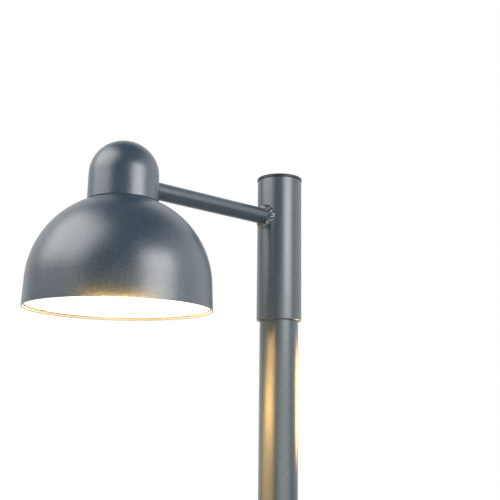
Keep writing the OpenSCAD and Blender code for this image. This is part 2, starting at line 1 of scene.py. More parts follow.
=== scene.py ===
"""Park lantern on its post: finishes, weld beads, camera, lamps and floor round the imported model.

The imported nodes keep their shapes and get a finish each. The two fillet welds are grown finer here than
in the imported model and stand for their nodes. Lengths are metres unless a name ends in _mm.
"""

import logging
import math
from dataclasses import dataclass
from enum import Enum
from typing import Any, Optional, Union

import bmesh
import bpy
from mathutils import Matrix, Vector


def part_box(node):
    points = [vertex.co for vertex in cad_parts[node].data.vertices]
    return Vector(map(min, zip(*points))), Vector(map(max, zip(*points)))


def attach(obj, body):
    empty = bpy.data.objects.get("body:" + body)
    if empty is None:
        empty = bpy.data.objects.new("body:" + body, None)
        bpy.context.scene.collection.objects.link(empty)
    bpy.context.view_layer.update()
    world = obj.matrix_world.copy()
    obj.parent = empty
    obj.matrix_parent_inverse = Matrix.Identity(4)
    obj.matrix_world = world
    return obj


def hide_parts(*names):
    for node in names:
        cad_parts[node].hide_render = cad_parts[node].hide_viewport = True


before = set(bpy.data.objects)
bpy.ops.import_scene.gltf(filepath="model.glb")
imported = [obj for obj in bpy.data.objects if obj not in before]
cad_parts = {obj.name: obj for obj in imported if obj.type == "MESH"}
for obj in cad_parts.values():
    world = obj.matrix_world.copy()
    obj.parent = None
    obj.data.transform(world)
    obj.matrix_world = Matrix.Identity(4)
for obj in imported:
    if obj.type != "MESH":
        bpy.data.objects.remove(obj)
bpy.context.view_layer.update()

LOG = logging.getLogger("park_lantern")
MM = 0.001
# Metres between the rings of a Wave texture of scale 1
WAVE_PITCH = 0.314
WHITE = "#ffffff"
# Colours of the lantern's own light
WARM = "#ffc97c"
AMBER = "#ffa046"
# Side of the photograph, in pixels
FRAME_PX = 500
# Values between which most of a noise texture lies
NOISE_SPAN = (0.3, 0.7)
# Degrees between two faces from which their edge is left sharp
SHARP_ANGLE = 50
# Point between lamp head and post that the softboxes face
LIT_POINT = (-0.15, 0.0, 2.05)

Tree = bpy.types.NodeTree
Socket = bpy.types.NodeSocket
Link = Union[Socket, float, int, bool, tuple, bpy.types.Material]
Step = tuple[Union[str, float], ...]


class Body(Enum):
    """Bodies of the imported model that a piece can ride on."""

    ROOT = "root"


class Slot(Enum):
    """Material slots of the record that a new piece can take."""

    COATED_STEEL = "coated_steel"


def linear(hex_code: str, alpha: float = 1.0) -> tuple[float, float, float, float]:
    """Turns an sRGB hex colour into linear values.

    Args:
        hex_code: colour as six hex digits, with or without a leading mark.
        alpha: fourth value of the result.

    Returns:
        Linear red, green and blue, and alpha.
    """
    digits = hex_code.lstrip("#")
    shares = [int(digits[i:i + 2], 16) / 255 for i in (0, 2, 4)]
    red, green, blue = (c / 12.92 if c <= 0.04045 else ((c + 0.055) / 1.055) ** 2.4 for c in shares)
    return red, green, blue, alpha


def add_node(
    tree: Tree,
    kind: str,
    settings: Optional[dict[str, Any]] = None,
    inputs: Optional[dict[Union[str, int], Link]] = None,
) -> bpy.types.Node:
    """Adds a node with its settings and links.

    Args:
        tree: tree that gets the node.
        kind: Blender's name of the node type.
        settings: properties of the node and their values.
        inputs: sockets by name or index, each with a value or with the socket that feeds it.

    Returns:
        The new node.
    """
    node = tree.nodes.new(kind)
    for name, value in (settings or {}).items():
        setattr(node, name, value)
    for key, value in (inputs or {}).items():
        if isinstance(value, Socket):
            tree.links.new(value, node.inputs[key])
        else:
            node.inputs[key].default_value = value
    return node


def work_out(tree: Tree, known: dict[str, Socket], steps: tuple[Step, ...]) -> None:
    """Adds a table of sums to a tree, each of which may use the ones before it.

    Args:
        tree: the tree.
        known: sockets by name; each step's result is added to it.
        steps: name of each result, its operation, and its numbers or the names of its sockets.
    """
    for name, operation, *operands in steps:
        known[name] = add_node(tree, "ShaderNodeMath", {"operation": operation}, {
            place: known[value] if isinstance(value, str) else value for place, value in enumerate(operands)
        }).outputs[0]


def per_metre(size_mm: float) -> float:
    """Returns how many features of a size in millimetres fit in a metre."""
    return 1 / (size_mm * MM)


@dataclass(frozen=True)
class Finish:
    """A finish that is built as a Principled material.

    Args:
        name: name of the material.
        hex_code: main colour.
        roughness: mean roughness.
        metallic: 1 for bare metal, 0 for the rest.
        ior: index of refraction. A metal keeps the default.
        wander: how far the roughness strays to either side of its mean.
    """

    name: str
    hex_code: str
    roughness: float = 0.5
    metallic: float = 0.0
    ior: float = 1.5
    wander: float = 0.05

    def build(self) -> bpy.types.Material:
        """Makes the material on the first call and reuses it after that.

        Returns:
            The material.
        """
        known = bpy.data.materials.get(self.name)
        if known is not None:
            return known
        material = bpy.data.materials.new(self.name)
        material.use_nodes = True
        tree = material.node_tree
        tree.nodes.clear()
        place = add_node(tree, "ShaderNodeTexCoord").outputs["Object"]
        shader = add_node(tree, "ShaderNodeBsdfPrincipled", inputs={
            "Base Color": linear(self.hex_code),
            "Roughness": self.roughness,
            "Metallic": self.metallic,
            "IOR": self.ior,
        })
        add_node(tree, "ShaderNodeOutputMaterial", inputs={"Surface": shader.outputs["BSDF"]})
        self.detail(tree, shader, place)
        material.diffuse_color = linear(self.hex_code)
        return material

    def detail(self, tree: Tree, shader: bpy.types.Node, place: Socket) -> None:
        """Adds this finish's pattern to the shader.

        Args:
            tree: the material's tree.
            shader: its Principled shader.
            place: Object coordinates.
        """
        raise NotImplementedError

    def lay(
        self,
        tree: Tree,
        shader: bpy.types.Node,
        tone: tuple[Socket, str, str],
        sheen: Socket,
        relief: tuple[tuple[Socket, float], ...],
        span: tuple[float, float] = NOISE_SPAN,
    ) -> None:
        """Lays a pattern of colour, gloss and relief on the shader.

        Args:
            tree: the material's tree.
            shader: its Principled shader.
            tone: value that picks the tone, and the low and high tones.
            sheen: value from 0 to 1 that picks the roughness.
            relief: heights from 0 to 1, each with its depth in millimetres, the broadest first.
            span: values at which the low and high tones are reached.
        """
        amount, low, high = tone
        share = add_node(tree, "ShaderNodeMapRange", {"interpolation_type": "SMOOTHSTEP"}, {
            "Value": amount, "From Min": span[0], "From Max": span[1],
        })
        mixed = add_node(tree, "ShaderNodeMix", {"data_type": "RGBA"}, {
            0: share.outputs["Result"], 6: linear(low), 7: linear(high),
        })
        tree.links.new(mixed.outputs[2], shader.inputs["Base Color"])
        roughness = add_node(tree, "ShaderNodeMapRange", inputs={
            "Value": sheen, "To Min": self.roughness - self.wander, "To Max": self.roughness + self.wander,
        })
        tree.links.new(roughness.outputs["Result"], shader.inputs["Roughness"])
        below: dict[Union[str, int], Link] = {}
        for height, depth_mm in relief:
            bump = add_node(tree, "ShaderNodeBump", inputs={
                "Height": height, "Distance": depth_mm * MM, "Strength": 1.0, **below,
            })
            below = {"Normal": bump.outputs["Normal"]}
            tree.links.new(bump.outputs["Normal"], shader.inputs["Normal"])


@dataclass(frozen=True)
class PowderCoat(Finish):
    """Fine-textured polyester powder coat, sprayed and baked.

    Args:
        deep: tone of the hollows between the grains, darker there as a painted shade.
        light: tone of the grains' tops, paler there as a painted highlight.
        grain_mm: width of the grains.
        grain_depth_mm: their height.
        peel_mm: width of the soft waves that the melted powder leaves.
        peel_depth_mm: their height.
    """

    deep: str = "#1d303c"
    light: str = "#314452"
    grain_mm: float = 3.0
    grain_depth_mm: float = 0.12
    peel_mm: float = 6.0
    peel_depth_mm: float = 0.015
    wander: float = 0.03

    def detail(self, tree: Tree, shader: bpy.types.Node, place: Socket) -> None:
        """Adds grains that glint one by one, over soft waves.

        Args:
            tree: the material's tree.
            shader: its Principled shader.
            place: Object coordinates.
        """
        # Real grains are about 0.3 mm wide: they are drawn ten times as coarse, so that they show at all
        grain = add_node(tree, "ShaderNodeTexNoise", inputs={
            "Vector": place, "Scale": per_metre(self.grain_mm), "Detail": 3.0, "Roughness": 0.55,
        }).outputs["Fac"]
        peel = add_node(tree, "ShaderNodeTexNoise", {"noise_dimensions": "4D"}, {
            "Vector": place, "W": 4.0, "Scale": per_metre(self.peel_mm), "Detail": 1.0,
        }).outputs["Fac"]
        # The grains' tone follows their height: painted shade in the hollows, painted highlight on the tops
        self.lay(
            tree, shader, tone=(grain, self.deep, self.light), sheen=peel,
            relief=((peel, self.peel_depth_mm), (grain, self.grain_depth_mm)),
        )


@dataclass(frozen=True)
class MouldedPlastic(Finish):
    """Injection-moulded plastic with the mould's fine spark texture.

    Args:
        streak: second tone, of the flow marks.
        spark_mm: width of the mould's texture.
        spark_depth_mm: its height.
        flow_mm: width of the flow marks.
    """

    streak: str = "#1f1e1d"
    spark_mm: float = 0.5
    spark_depth_mm: float = 0.004
    flow_mm: float = 14.0

    def detail(self, tree: Tree, shader: bpy.types.Node, place: Socket) -> None:
        """Adds an even satin skin with faint flow marks.

        Args:
            tree: the material's tree.
            shader: its Principled shader.
            place: Object coordinates.
        """
        # Real sparks are about 0.1 mm wide: they are drawn five times as coarse
        spark = add_node(tree, "ShaderNodeTexNoise", inputs={
            "Vector": place, "Scale": per_metre(self.spark_mm), "Detail": 3.0,
        }).outputs["Fac"]
        flow = add_node(tree, "ShaderNodeTexNoise", {"noise_dimensions": "4D"}, {
            "Vector": place, "W": 2.0, "Scale": per_metre(self.flow_mm), "Detail": 2.0,
        }).outputs["Fac"]
        self.lay(
            tree, shader, tone=(flow, self.hex_code, self.streak), sheen=flow,
            relief=((spark, self.spark_depth_mm),),
        )


@dataclass(frozen=True)
class Elastomer(Finish):
    """Moulded rubber or closed foam.

    Args:
        bloom: paler tone of the dust and wax on it.
        cell_mm: width of its cells or pits.
        cell_depth_mm: their depth.
        bloom_mm: width of the bloom's patches.
    """

    bloom: str = "#2b2c2e"
    cell_mm: float = 0.7
    cell_depth_mm: float = 0.04
    bloom_mm: float = 9.0
    wander: float = 0.06

    def detail(self, tree: Tree, shader: bpy.types.Node, place: Socket) -> None:
        """Adds pits and a pale bloom to a dull skin.

        Args:
            tree: the material's tree.
            shader: its Principled shader.
            place: Object coordinates.
        """
        cells = add_node(tree, "ShaderNodeTexVoronoi", {"feature": "F1"}, {
            "Vector": place, "Scale": per_metre(self.cell_mm),
        }).outputs["Distance"]
        bloom = add_node(tree, "ShaderNodeTexNoise", inputs={
            "Vector": place, "Scale": per_metre(self.bloom_mm), "Detail": 3.0,
        }).outputs["Fac"]
        self.lay(
            tree, shader, tone=(bloom, self.hex_code, self.bloom), sheen=bloom,
            relief=((cells, self.cell_depth_mm),),
        )


@dataclass(frozen=True)
class ZincPlate(Finish):
    """Bright zinc plating with a clear passivation.

    Args:
        haze: second tone, of the passivation's cloudy patches.
        patch_mm: width of those patches.
        crystal_mm: width of the zinc's crystals.
        crystal_depth_mm: their height.
    """

    haze: str = "#a9b3bd"
    patch_mm: float = 2.5
    crystal_mm: float = 0.3
    crystal_depth_mm: float = 0.005
    wander: float = 0.08

    def detail(self, tree: Tree, shader: bpy.types.Node, place: Socket) -> None:
        """Adds cloudy patches and the crystals' fine sparkle to cool metal.

        Args:
            tree: the material's tree.
            shader: its Principled shader.
            place: Object coordinates.
        """
        patch = add_node(tree, "ShaderNodeTexNoise", inputs={
            "Vector": place, "Scale": per_metre(self.patch_mm), "Detail": 3.0,
        }).outputs["Fac"]
        # Real crystals are a few hundredths of a millimetre wide: they are drawn about ten times as coarse
        crystals = add_node(tree, "ShaderNodeTexVoronoi", {"feature": "F1"}, {
            "Vector": place, "Scale": per_metre(self.crystal_mm),
        }).outputs["Distance"]
        self.lay(
            tree, shader, tone=(patch, self.hex_code, self.haze), sheen=patch,
            relief=((crystals, self.crystal_depth_mm),),
        )


@dataclass(frozen=True)
class TurnedAluminium(Finish):
    """Aluminium plate, faced on a lathe and left bare.

    Args:
        centre: point on the axis it was turned about.
        feed_mm: distance between the tool's grooves.
        groove_depth_mm: depth of the grooves.
        dull: second tone, where the skin has oxidised.
        oxide_mm: width of the oxidised patches.
    """

    centre: tuple[float, float, float] = (0.0, 0.0, 0.0)
    feed_mm: float = 0.6
    groove_depth_mm: float = 0.012
    dull: str = "#b4b8bb"
    oxide_mm: float = 12.0
    wander: float = 0.06

    def detail(self, tree: Tree, shader: bpy.types.Node, place: Socket) -> None:
        """Adds rings of tool marks round the axis, which fan the light out.

        Args:
            tree: the material's tree.
            shader: its Principled shader.
            place: Object coordinates.
        """
        # Real grooves lie about 0.2 mm apart: they are drawn three times as coarse
        local = add_node(tree, "ShaderNodeMapping", {"vector_type": "POINT"}, {
            "Vector": place, "Location": tuple(-c for c in self.centre),
        }).outputs["Vector"]
        rings = add_node(tree, "ShaderNodeTexWave", {"wave_type": "RINGS", "rings_direction": "Z"}, {
            "Vector": local, "Scale": WAVE_PITCH * per_metre(self.feed_mm), "Distortion": 0.4, "Detail": 1.0,
        }).outputs["Fac"]
        oxide = add_node(tree, "ShaderNodeTexNoise", inputs={
            "Vector": place, "Scale": per_metre(self.oxide_mm), "Detail": 3.0,
        }).outputs["Fac"]
        self.lay(
            tree, shader, tone=(oxide, self.hex_code, self.dull), sheen=oxide,
            relief=((rings, self.groove_depth_mm),),
        )


@dataclass(frozen=True)
class SprayedWhite(Finish):
    """White reflector paint, matt and slightly uneven.

    Args:
        shade: second tone, where the film is thin.
        peel_mm: width of its orange peel.
        peel_depth_mm: depth of the peel.
        film_mm: width of the thin places.
    """

    shade: str = "#e2dfd6"
    peel_mm: float = 2.0
    peel_depth_mm: float = 0.02
    film_mm: float = 30.0

    def detail(self, tree: Tree, shader: bpy.types.Node, place: Socket) -> None:
        """Adds a faint orange peel and thin places to soft white.

        Args:
            tree: the material's tree.
            shader: its Principled shader.
            place: Object coordinates.
        """
        peel = add_node(tree, "ShaderNodeTexNoise", inputs={
            "Vector": place, "Scale": per_metre(self.peel_mm), "Detail": 2.0,
        }).outputs["Fac"]
        film = add_node(tree, "ShaderNodeTexNoise", {"noise_dimensions": "4D"}, {
            "Vector": place, "W": 5.0, "Scale": per_metre(self.film_mm), "Detail": 2.0,
        }).outputs["Fac"]
        self.lay(
            tree, shader, tone=(film, self.hex_code, self.shade), sheen=film,
            relief=((peel, self.peel_depth_mm),),
        )


@dataclass(frozen=True)
class SolderMask(Finish):
    """White solder mask over the copper tracks of an aluminium-core board.

    Args:
        centre: centre of the board.
        track_mm: distance between the ring tracks.
        track_height_mm: thickness of the copper under the mask.
        track: tone of the mask where it lies over copper.
        track_edge: values of the ring wave at which a track's slope starts and ends.
    """

    centre: tuple[float, float, float] = (0.0, 0.0, 0.0)
    track_mm: float = 3.6
    track_height_mm: float = 0.035
    track: str = "#e4dfcd"
    track_edge: tuple[float, float] = (0.55, 0.7)
    wander: float = 0.03

    def detail(self, tree: Tree, shader: bpy.types.Node, place: Socket) -> None:
        """Adds ring tracks that show as low, creamier bands.

        Args:
            tree: the material's tree.
            shader: its Principled shader.
            place: Object coordinates.
        """
        local = add_node(tree, "ShaderNodeMapping", {"vector_type": "POINT"}, {
            "Vector": place, "Location": tuple(-c for c in self.centre),
        }).outputs["Vector"]
        rings = add_node(tree, "ShaderNodeTexWave", {"wave_type": "RINGS", "rings_direction": "Z"}, {
            "Vector": local, "Scale": WAVE_PITCH * per_metre(self.track_mm), "Distortion": 0.0,
        }).outputs["Fac"]
        tracks = add_node(tree, "ShaderNodeMapRange", {"interpolation_type": "SMOOTHSTEP"}, {
            "Value": rings, "From Min": self.track_edge[0], "From Max": self.track_edge[1],
        }).outputs["Result"]
        self.lay(
            tree, shader, tone=(tracks, self.hex_code, self.track), sheen=rings,
            relief=((tracks, self.track_height_mm),), span=(0.0, 1.0),
        )


@dataclass(frozen=True)
class Luminous(Finish):
    """A lit plastic or phosphor: it gives light of one even colour and level.

    Args:
        glow: colour of the light.
        strength: level of the light, 1 for white paper.
        cloud: second tone of the material itself.
        cloud_mm: width of its clouds.
        cloud_depth_mm: height of its clouds.
        lights_others: whether the render samples it as a lamp.
    """

    glow: str = WHITE
    strength: float = 1.0
    cloud: str = WHITE
    cloud_mm: float = 6.0
    cloud_depth_mm: float = 0.01
    lights_others: bool = True
    wander: float = 0.04

    def detail(self, tree: Tree, shader: bpy.types.Node, place: Socket) -> None:
        """Adds even light over a faintly clouded body.

        Args:
            tree: the material's tree.
            shader: its Principled shader.
            place: Object coordinates.
        """
        shader.inputs["Emission Color"].default_value = linear(self.glow)
        shader.inputs["Emission Strength"].default_value = self.strength
        cloud = add_node(tree, "ShaderNodeTexNoise", inputs={
            "Vector": place, "Scale": per_metre(self.cloud_mm), "Detail": 2.0,
        }).outputs["Fac"]
        self.lay(
            tree, shader, tone=(cloud, self.hex_code, self.cloud), sheen=cloud,
            relief=((cloud, self.cloud_depth_mm),),
        )

    def build(self) -> bpy.types.Material:
        """Returns the material, with its sampling as a lamp set."""
        material = super().build()
        material.cycles.emission_sampling = "AUTO" if self.lights_others else "NONE"
        return material


# A hair past the end of the bead's face, so that rounding doesn't drop the face's last points
PAST_FACE = 1.0001
# Size of the bead as a share of its leg: least, and how much the welder's hand adds to it
SIZE_BASE, SIZE_SWING = 0.75, 0.5
# Lag of a ripple at the bead's toes, and how far the hand shifts the ripples, both in ripples
RIPPLE_LAG, RIPPLE_SHIFT = 2.4, 1.2
# Bluntness of a ripple's top, its lift, and the lift between ripples, both as shares of the leg
RIPPLE_BLUNTNESS, RIPPLE_LIFT, CROWN_LIFT = 0.7, 0.2, 0.02
# Waves of the welder's hand over the joint, and the distance at which the folded grid's points are joined
HAND_SCALE = 1.6
WELD_DISTANCE = 0.002 * MM

# Where a point of the grid lies round the joint and across the bead: 0 to 1 across its face, then the root
JOINT_STEPS: tuple[Step, ...] = (
    ("around", "ADD", "x", 0.5),
    ("angle", "MULTIPLY", "around", math.tau),
    ("sine", "SINE", "angle"),
    ("cosine", "COSINE", "angle"),
    ("strips", "SUBTRACT", "Points", 1.0),
    ("face strips", "SUBTRACT", "Points", 3.0),
    ("fold", "DIVIDE", "strips", "face strips"),
    ("spread", "ADD", "y", 0.5),
    ("across", "MULTIPLY", "spread", "fold"),
    ("on face", "LESS_THAN", "across", PAST_FACE),
    ("strip", "DIVIDE", 1.0, "face strips"),
    ("root end", "ADD", "strip", PAST_FACE),
    ("closing", "GREATER_THAN", "across", "root end"),
)

# The bead's face over a flat fillet, and its distances from the seat and from the tube
BEAD_STEPS: tuple[Step, ...] = (
    ("size share", "MULTIPLY_ADD", "hand", SIZE_SWING, SIZE_BASE),
    ("size", "MULTIPLY", "Leg", "size share"),
    # Crescent ripples: the middle of the bead lags behind its toes
    ("off middle", "SUBTRACT", "across", 0.5),
    ("off squared", "MULTIPLY", "off middle", "off middle"),
    ("lag", "MULTIPLY", "off squared", RIPPLE_LAG),
    ("even beat", "MULTIPLY_ADD", "around", "Ripples", "lag"),
    ("beat", "MULTIPLY_ADD", "hand", RIPPLE_SHIFT, "even beat"),
    ("turn", "MULTIPLY", "beat", math.pi),
    ("wave", "SINE", "turn"),
    ("bumps", "ABSOLUTE", "wave"),
    ("ripple", "POWER", "bumps", RIPPLE_BLUNTNESS),
    ("bow", "MULTIPLY", "across", math.pi),
    ("crown", "SINE", "bow"),
    ("ripple lift", "MULTIPLY_ADD", "ripple", RIPPLE_LIFT, CROWN_LIFT),
    ("crown lift", "MULTIPLY", "crown", "ripple lift"),
    ("lift", "MULTIPLY", "crown lift", "Leg"),
    ("face rise", "MULTIPLY_ADD", "across", "size", "lift"),
    ("rise", "MULTIPLY_ADD", "face rise", "on face", "Gap"),
    ("rest", "SUBTRACT", 1.0, "across"),
    ("face run", "MULTIPLY_ADD", "rest", "size", "lift"),
    ("root run", "MULTIPLY_ADD", "closing", "size", "Gap"),
    ("run", "MULTIPLY_ADD", "face run", "on face", "root run"),
    ("reach", "ADD", "Tube radius", "run"),
    ("side", "MULTIPLY", "reach", "sine"),
    ("front", "MULTIPLY", "reach", "cosine"),
    # The seat falls away from the bead as the upright tube curves
    ("bend", "MULTIPLY", "side", "Seat curvature"),
    ("bend squared", "MULTIPLY", "bend", "bend"),
    ("under root", "SUBTRACT", 1.0, "bend squared"),
    ("depth", "SQRT", "under root"),
    ("depth and one", "ADD", "depth", 1.0),
    ("side bend", "MULTIPLY", "side", "bend"),
    ("drop", "DIVIDE", "side bend", "depth and one"),
    ("height", "SUBTRACT", "rise", "drop"),
)


@dataclass
class FilletWeld:
    """A rippled fillet bead round a tube, grown along the joint by Geometry Nodes.

    Args:
        name: name of the piece.
        node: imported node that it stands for.
        tube_radius: outside radius of the tube that is welded on.
        seat_curvature: 1 / radius of the upright tube it stands on, or 0 for a flat plate.
        leg: leg of the fillet.
        ripples: number of ripples round the joint.
        place: turns the bead, which grows along +Z from its seat, to its joint.
        gap: clearance to both surfaces.
        sections: sections per ripple.
        across: points across the bead's face.
        seed: fixed seed of the uneven steps of the welder's hand.
    """

    name: str
    node: str
    tube_radius: float
    seat_curvature: float
    leg: float
    ripples: int
    place: Matrix
    gap: float = 0.08 * MM
    sections: int = 14
    across: int = 14
    seed: float = 3.0

    def tree(self) -> Tree:
        """Builds the node tree: a grid of joint position and bead position, folded to the bead.

        Returns:
            The tree, with a named input for each size.
        """
        tree = bpy.data.node_groups.new(self.name, "GeometryNodeTree")
        face = tree.interface
        face.new_socket("Geometry", in_out="INPUT", socket_type="NodeSocketGeometry")
        face.new_socket("Geometry", in_out="OUTPUT", socket_type="NodeSocketGeometry")
        for label in ("Tube radius", "Seat curvature", "Leg", "Gap", "Seed"):
            face.new_socket(label, in_out="INPUT", socket_type="NodeSocketFloat")
        for label in ("Ripples", "Rings", "Points"):
            face.new_socket(label, in_out="INPUT", socket_type="NodeSocketInt")
        face.new_socket("Finish", in_out="INPUT", socket_type="NodeSocketMaterial")
        given = add_node(tree, "NodeGroupInput").outputs

        # The grid's X runs round the joint, its Y across the bead's face and back over the root
        grid = add_node(tree, "GeometryNodeMeshGrid", inputs={
            "Size X": 1.0, "Size Y": 1.0, "Vertices X": given["Rings"], "Vertices Y": given["Points"],
        })
        spot = add_node(tree, "ShaderNodeSeparateXYZ", inputs={
            0: add_node(tree, "GeometryNodeInputPosition").outputs[0],
        }).outputs
        known = {socket.name: socket for socket in given} | {"x": spot["X"], "y": spot["Y"]}
        work_out(tree, known, JOINT_STEPS)

        # Uneven hand: the noise is read on a circle, so that it closes
        circle = add_node(tree, "ShaderNodeCombineXYZ", inputs={0: known["cosine"], 1: known["sine"]})
        known["hand"] = add_node(tree, "ShaderNodeTexNoise", {"noise_dimensions": "4D"}, {
            "Vector": circle.outputs[0], "W": given["Seed"], "Scale": HAND_SCALE, "Detail": 2.0,
        }).outputs["Fac"]
        work_out(tree, known, BEAD_STEPS)

        point = add_node(tree, "ShaderNodeCombineXYZ", inputs={
            0: known["side"], 1: known["front"], 2: known["height"],
        })
        folded = add_node(tree, "GeometryNodeSetPosition", inputs={
            "Geometry": grid.outputs["Mesh"], "Position": point.outputs[0],
        })
        closed = add_node(tree, "GeometryNodeMergeByDistance", inputs={
            "Geometry": folded.outputs[0], "Distance": WELD_DISTANCE,
        })
        dressed = add_node(tree, "GeometryNodeSetMaterial", inputs={
            "Geometry": closed.outputs[0], "Material": given["Finish"],
        })
        add_node(tree, "NodeGroupOutput", inputs={0: dressed.outputs[0]})
        return tree

    def build(self, finish: Finish) -> bpy.types.Object:
        """Grows the bead, bakes it to a mesh at its joint and lets it stand for its node.

        Args:
            finish: finish of the bead.

        Returns:
            The finished piece.
        """
        piece = grown(self.name, self.tree(), {
            "Tube radius": self.tube_radius, "Seat curvature": self.seat_curvature, "Leg": self.leg,
            "Gap": self.gap, "Seed": self.seed, "Ripples": self.ripples,
            "Rings": self.ripples * self.sections + 1, "Points": self.across + 3, "Finish": finish.build(),
        }, self.place)
        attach(piece, Body.ROOT.value)
        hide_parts(self.node)
        return piece


def grown(name: str, tree: Tree, values: dict[str, Any], place: Matrix) -> bpy.types.Object:
    """Runs a Geometry Nodes tree once and keeps its result as a plain mesh.

    Args:
        name: name of the piece.
        tree: the tree.
        values: value of each of its named inputs.
        place: turn and move that take the result to its place.

    Returns:
        An object at the origin whose mesh is in place, smooth except at its sharp edges.
    """
    seed = bpy.data.objects.new(name + "_seed", bpy.data.meshes.new(name + "_seed"))
    bpy.context.scene.collection.objects.link(seed)
    modifier = seed.modifiers.new("grow", "NODES")
    modifier.node_group = tree
    for item in tree.interface.items_tree:
        if item.in_out == "INPUT" and item.name in values:
            modifier[item.identifier] = values[item.name]
    graph = bpy.context.evaluated_depsgraph_get()
    mesh = bpy.data.meshes.new_from_object(seed.evaluated_get(graph))
    seed.modifiers.remove(modifier)
    bpy.data.objects.remove(seed)
    mesh.name = name
    shape = bmesh.new()
    shape.from_mesh(mesh)
    bmesh.ops.recalc_face_normals(shape, faces=shape.faces)
    for edge in shape.edges:
        edge.smooth = edge.calc_face_angle(math.pi) < math.radians(SHARP_ANGLE)
    for side in shape.faces:
        side.smooth = True
    shape.transform(place)
    shape.to_mesh(mesh)
    shape.free()
    piece = bpy.data.objects.new(name, mesh)
    bpy.context.scene.collection.objects.link(piece)
    return piece


@dataclass
class Lantern:
    """Base of the lantern's sub-assemblies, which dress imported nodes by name."""

    def dress(self, finish: Finish, *names: str) -> None:
        """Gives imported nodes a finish.

        Args:
            finish: the finish.
            names: the nodes' names.
        """
        material = finish.build()
        for name in names:
            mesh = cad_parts[name].data
            mesh.materials.clear()
            mesh.materials.append(material)
            LOG.info("dressed %s in %s", name, finish.name)


@dataclass
class PostAndFoot(Lantern):
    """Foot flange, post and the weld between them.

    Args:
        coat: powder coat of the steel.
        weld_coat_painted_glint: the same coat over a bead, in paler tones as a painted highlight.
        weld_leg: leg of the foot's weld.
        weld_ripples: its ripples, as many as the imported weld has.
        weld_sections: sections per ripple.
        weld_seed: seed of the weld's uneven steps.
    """

    coat: Finish
    weld_coat_painted_glint: Finish
    weld_leg: float = 6.0 * MM
    weld_ripples: int = 44
    weld_sections: int = 8
    weld_seed: float = 11.0

    def build(self) -> None:
        """Dresses the nodes and grows the weld at the foot."""
        self.dress(self.coat, "foot_flange", "post")
        post_low, post_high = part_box("post")
        weld = FilletWeld(
            name="foot_weld_bead", node="foot_weld",
            tube_radius=(post_high.x - post_low.x) / 2, seat_curvature=0.0,
            leg=self.weld_leg, ripples=self.weld_ripples,
            place=Matrix.Translation((0, 0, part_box("foot_flange")[1].z)),
            sections=self.weld_sections, seed=self.weld_seed,
        )
        LOG.info("grew %s", weld.build(self.weld_coat_painted_glint).name)


@dataclass
class SleeveAndArm(Lantern):
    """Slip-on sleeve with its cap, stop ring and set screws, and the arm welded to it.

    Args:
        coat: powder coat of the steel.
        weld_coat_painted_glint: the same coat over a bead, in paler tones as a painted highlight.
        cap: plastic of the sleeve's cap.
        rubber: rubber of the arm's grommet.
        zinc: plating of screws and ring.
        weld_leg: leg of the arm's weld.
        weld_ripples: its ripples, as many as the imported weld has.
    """

    coat: Finish
    weld_coat_painted_glint: Finish
    cap: Finish
    rubber: Finish
    zinc: Finish
    weld_leg: float = 6.5 * MM
    weld_ripples: int = 17

    def build(self) -> None:
        """Dresses the nodes and grows the weld round the arm's saddle end."""
        self.dress(self.coat, "sleeve", "arm")
        self.dress(self.cap, "sleeve_cap")
        self.dress(self.rubber, "arm_grommet")
        self.dress(self.zinc, "stop_ring", "set_screw_1", "set_screw_2", "arm_lock_screw")
        sleeve_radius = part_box("sleeve")[1].x
        low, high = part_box("arm")
        # The bead grows along its own +Z, which points along the arm, away from the sleeve
        turn = Matrix(((0, 0, -1), (-1, 0, 0), (0, 1, 0))).to_4x4()
        weld = FilletWeld(
            name="arm_weld_bead", node="arm_weld",
            tube_radius=(high.z - low.z) / 2, seat_curvature=1 / sleeve_radius,
            leg=self.weld_leg, ripples=self.weld_ripples,
            place=Matrix.Translation((-sleeve_radius, 0, (low.z + high.z) / 2)) @ turn,
        )
        LOG.info("grew %s", weld.build(self.weld_coat_painted_glint).name)


@dataclass
class LampHead(Lantern):
    """Housing, shade, light source, reflector and diffuser with their fasteners.

    Args:
        coat: powder coat of the aluminium.
        rubber: rubber of the seal, pale as painted light over the seam's shade.
        zinc: plating of the screws.
        plate: metal of the heat plate.
        white_paint: paint of the reflector.
        board: face of the light board.
        chips: lit phosphor.
        case: plastic of driver and terminal block.
        foam: foam of the gasket.
        opal: lit diffuser.
    """

    coat: Finish
    rubber: Finish
    zinc: Finish
    plate: Finish
    white_paint: Finish
    board: Finish
    chips: Finish
    case: Finish
    foam: Finish
    opal: Finish

    def build(self) -> None:
        """Dresses the nodes of the lamp head."""
        self.dress(self.coat, "housing", "shade")
        self.dress(self.rubber, "shade_seal")
        self.dress(self.plate, "heat_plate")
        self.dress(self.white_paint, "reflector")
        self.dress(self.board, "led_board")
        self.dress(self.chips, "led_chips")
        self.dress(self.case, "driver", "terminal_block")
        self.dress(self.foam, "diffuser_gasket")
        self.dress(self.opal, "diffuser")
        screws = ("shade_screw", "led_screw", "driver_screw", "rivet_nut", "diffuser_screw")
        self.dress(self.zinc, *(n for n in sorted(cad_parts) if n.rpartition("_")[0] in screws))


class Face(Enum):
    """Shapes of a lamp's face."""

    RECTANGLE = "RECTANGLE"
    DISK = "DISK"


